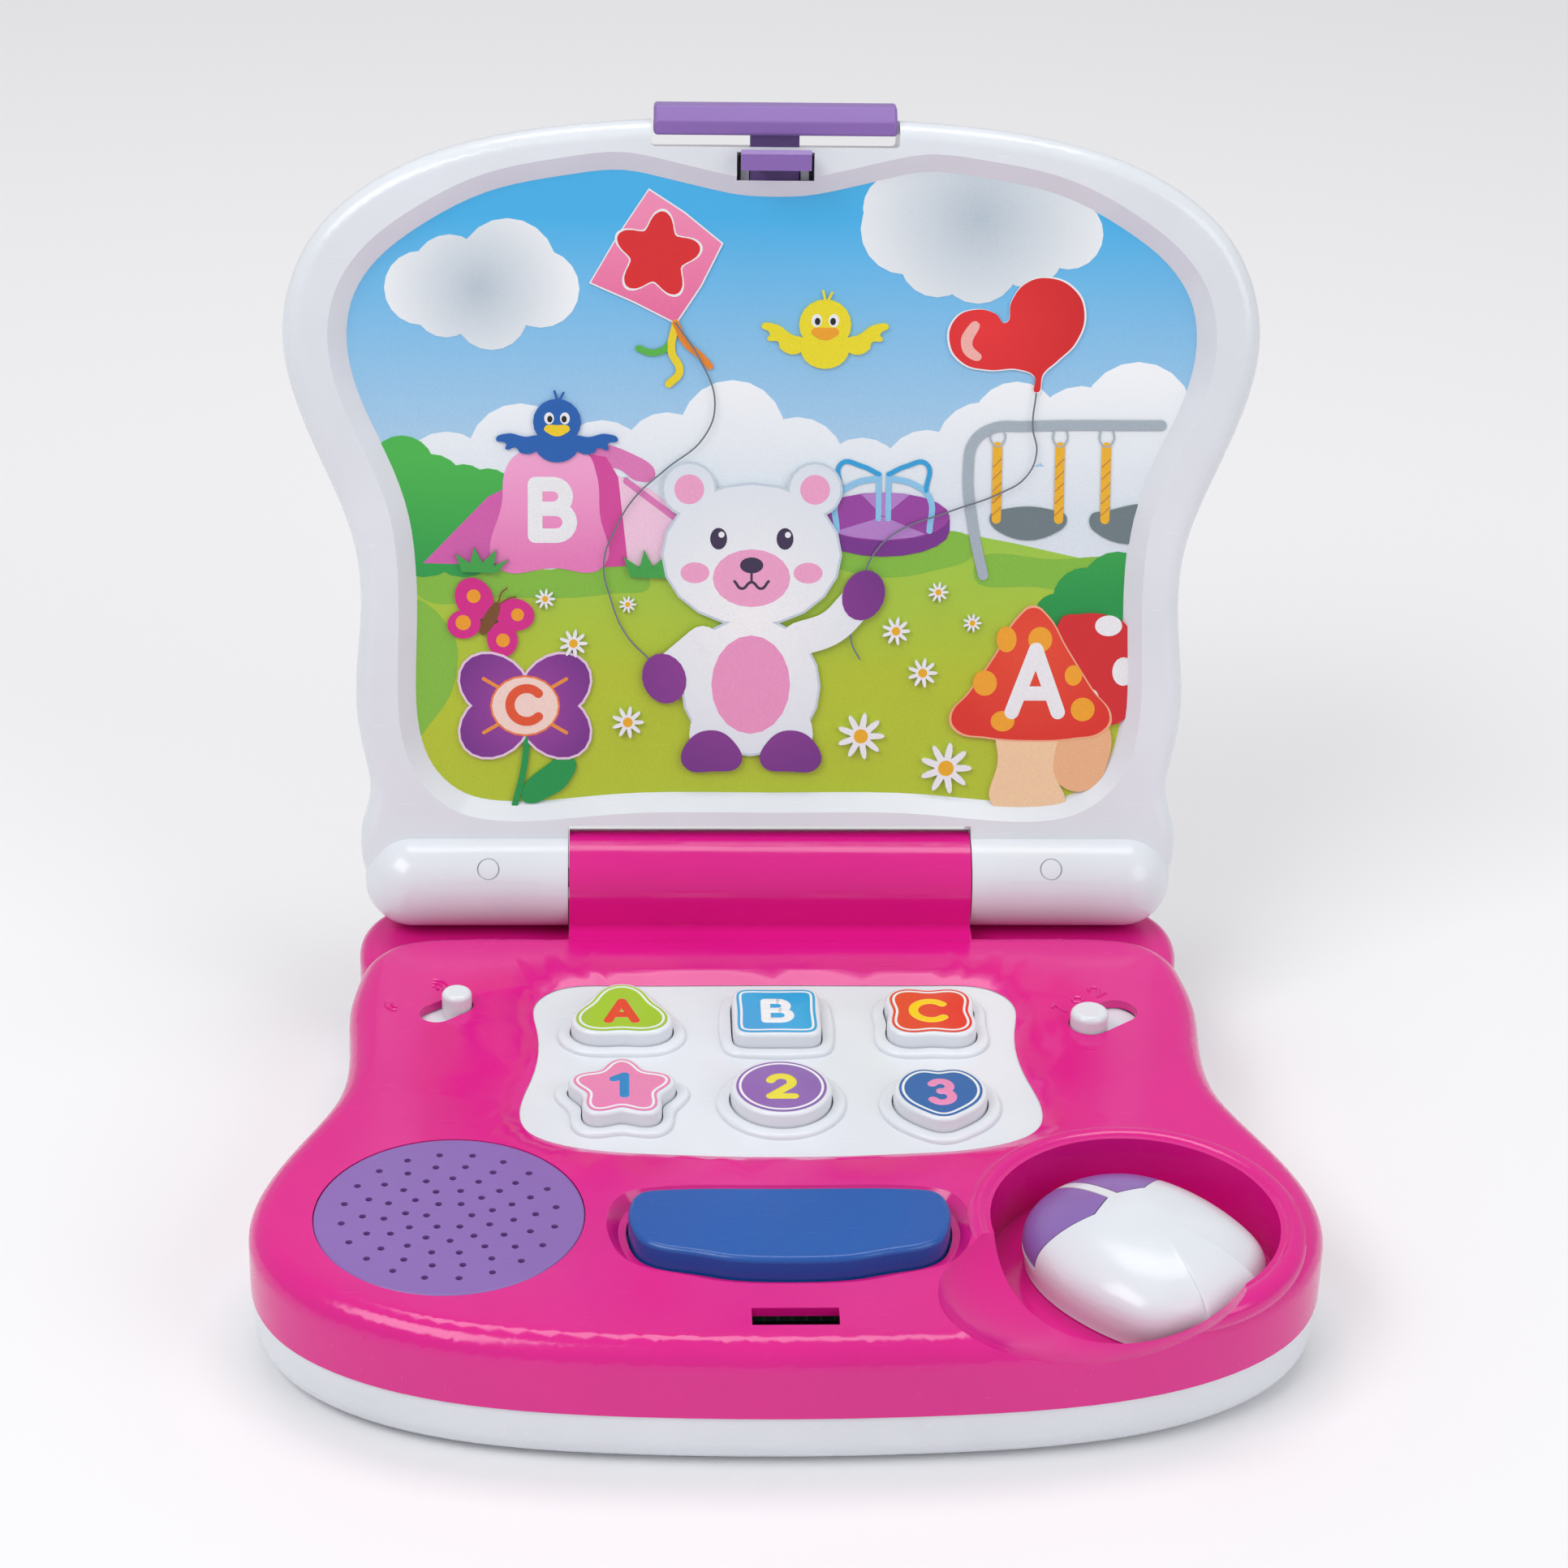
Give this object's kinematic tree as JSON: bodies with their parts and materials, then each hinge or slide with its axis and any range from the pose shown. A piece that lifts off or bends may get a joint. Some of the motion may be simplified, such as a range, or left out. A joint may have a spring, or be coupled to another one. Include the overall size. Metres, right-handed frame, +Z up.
{
  "type": "toy laptop computer",
  "caption": "Waisted toy laptop with a hinged latching lid and printed picture screen, shaped letter and number keys, enter bar, slide switches, speaker and captive swivelling mouse.",
  "frame": {"origin": "centre of the underside, on the surface that the toy stands on, midway between its front and rear edges", "axes": "+X to the right of a child facing the screen, +Y to the rear, +Z up; stored with the lid open on its stop"},
  "size_m": [0.2396, 0.2577, 0.2206],
  "materials": {
    "magenta_shell": "glossy moulded ABS",
    "white_plastic": "glossy moulded ABS",
    "purple_plastic": "satin moulded ABS",
    "blue_plastic": "satin moulded ABS",
    "printed_picture": "printed film with a gloss laminate",
    "printed_label": "printed sticker with a gloss laminate",
    "backing_plastic": "moulded sheet",
    "battery_jacket": "printed steel can",
    "contact_metal": "nickel-plated spring steel",
    "screw_steel": "zinc-plated",
    "pin_steel": "drawn steel",
    "circuit_board": "epoxy board with solder resist",
    "black_plastic": "moulded epoxy",
    "key_rubber": "silicone rubber",
    "speaker_steel": "zinc-plated pressing",
    "magnet": "ferrite",
    "cone_paper": "black paper cone",
    "wire_red": "PVC insulation"
  },
  "bodies": {
    "base": {"batteries": "battery_jacket", "battery_contacts": "contact_metal", "battery_door": "white_plastic", "battery_door_screw": "screw_steel", "battery_springs": "contact_metal", "battery_wires": "wire_red", "board_screws": "screw_steel", "bottom_shell": "white_plastic", "case_screws": "screw_steel", "hinge_pins": "pin_steel", "key_domes": "key_rubber", "keypad_panel": "white_plastic", "main_board": "circuit_board", "slide_switches": "black_plastic", "sound_chip": "black_plastic", "speaker_cone": "cone_paper", "speaker_frame": "speaker_steel", "speaker_grille": "purple_plastic", "speaker_magnet": "magnet", "speaker_wires": "wire_red", "top_shell": "magenta_shell"},
    "lid": {"lid_bezel": "white_plastic", "lid_back": "white_plastic", "lid_screws": "screw_steel", "screen_panel": "backing_plastic", "screen_print": "printed_picture", "latch_spring": "contact_metal"},
    "latch": {"latch_slider": "purple_plastic"},
    "mouse": {"mouse_base": "white_plastic", "mouse_board": "circuit_board", "mouse_pivot_screw": "screw_steel", "mouse_pivot_washer": "screw_steel", "mouse_screw": "screw_steel", "mouse_shell": "white_plastic", "mouse_switches": "black_plastic"},
    "mouse_left": {"mouse_button_left": "purple_plastic"},
    "mouse_right": {"mouse_button_right": "purple_plastic"},
    "enter_key": {"enter_bar": "blue_plastic"},
    "volume_switch": {"volume_switch_knob": "white_plastic"},
    "mode_switch": {"mode_switch_knob": "white_plastic"},
    "key_a": {"key_a": "white_plastic", "key_label_a": "printed_label"},
    "key_b": {"key_b": "white_plastic", "key_label_b": "printed_label"},
    "key_c": {"key_c": "white_plastic", "key_label_c": "printed_label"},
    "key_1": {"key_1": "white_plastic", "key_label_1": "printed_label"},
    "key_2": {"key_2": "white_plastic", "key_label_2": "printed_label"},
    "key_3": {"key_3": "white_plastic", "key_label_3": "printed_label"}
  },
  "joints": [
    {"name": "lid_hinge", "type": "hinge", "parent": "base", "child": "lid", "pos_m": [0, 0.087, 0.038], "axis": [1, 0, 0], "range_deg": [0, 108]},
    {"name": "latch_press", "type": "slide", "parent": "lid", "child": "latch", "axis": [0, -0.309, -0.9511], "range_m": [0, 0.0022], "stiffness_N_per_m": 500, "springref_m": -0.001, "deforming": ["latch_spring"]},
    {"name": "mouse_turn", "type": "hinge", "parent": "base", "child": "mouse", "pos_m": [0.077, -0.054, 0.0175], "axis": [0, 0, 1], "range_deg": [-80, 0]},
    {"name": "mouse_left_press", "type": "slide", "parent": "mouse", "child": "mouse_left", "axis": [0, 0, -1], "range_m": [0, 0.0008], "stiffness_N_per_m": 250, "springref_m": -0.001},
    {"name": "mouse_right_press", "type": "slide", "parent": "mouse", "child": "mouse_right", "axis": [0, 0, -1], "range_m": [0, 0.0008], "stiffness_N_per_m": 250, "springref_m": -0.001},
    {"name": "key_a_press", "type": "slide", "parent": "base", "child": "key_a", "axis": [0, 0, -1], "range_m": [0, 0.0024], "stiffness_N_per_m": 300, "springref_m": -0.001, "deforming": ["key_domes"]},
    {"name": "key_b_press", "type": "slide", "parent": "base", "child": "key_b", "axis": [0, 0, -1], "range_m": [0, 0.0024], "stiffness_N_per_m": 300, "springref_m": -0.001},
    {"name": "key_c_press", "type": "slide", "parent": "base", "child": "key_c", "axis": [0, 0, -1], "range_m": [0, 0.0024], "stiffness_N_per_m": 300, "springref_m": -0.001},
    {"name": "key_1_press", "type": "slide", "parent": "base", "child": "key_1", "axis": [0, 0, -1], "range_m": [0, 0.0024], "stiffness_N_per_m": 300, "springref_m": -0.001},
    {"name": "key_2_press", "type": "slide", "parent": "base", "child": "key_2", "axis": [0, 0, -1], "range_m": [0, 0.0024], "stiffness_N_per_m": 300, "springref_m": -0.001},
    {"name": "key_3_press", "type": "slide", "parent": "base", "child": "key_3", "axis": [0, 0, -1], "range_m": [0, 0.0024], "stiffness_N_per_m": 300, "springref_m": -0.001},
    {"name": "enter_press", "type": "slide", "parent": "base", "child": "enter_key", "axis": [0, 0, -1], "range_m": [0, 0.0024], "stiffness_N_per_m": 500, "springref_m": -0.001},
    {"name": "volume_slide", "type": "slide", "parent": "base", "child": "volume_switch", "axis": [0.788, 0.6157, 0], "range_m": [-0.0062, 0]},
    {"name": "mode_slide", "type": "slide", "parent": "base", "child": "mode_switch", "axis": [0.788, 0.6157, 0], "range_m": [0, 0.0092]}
  ]
}
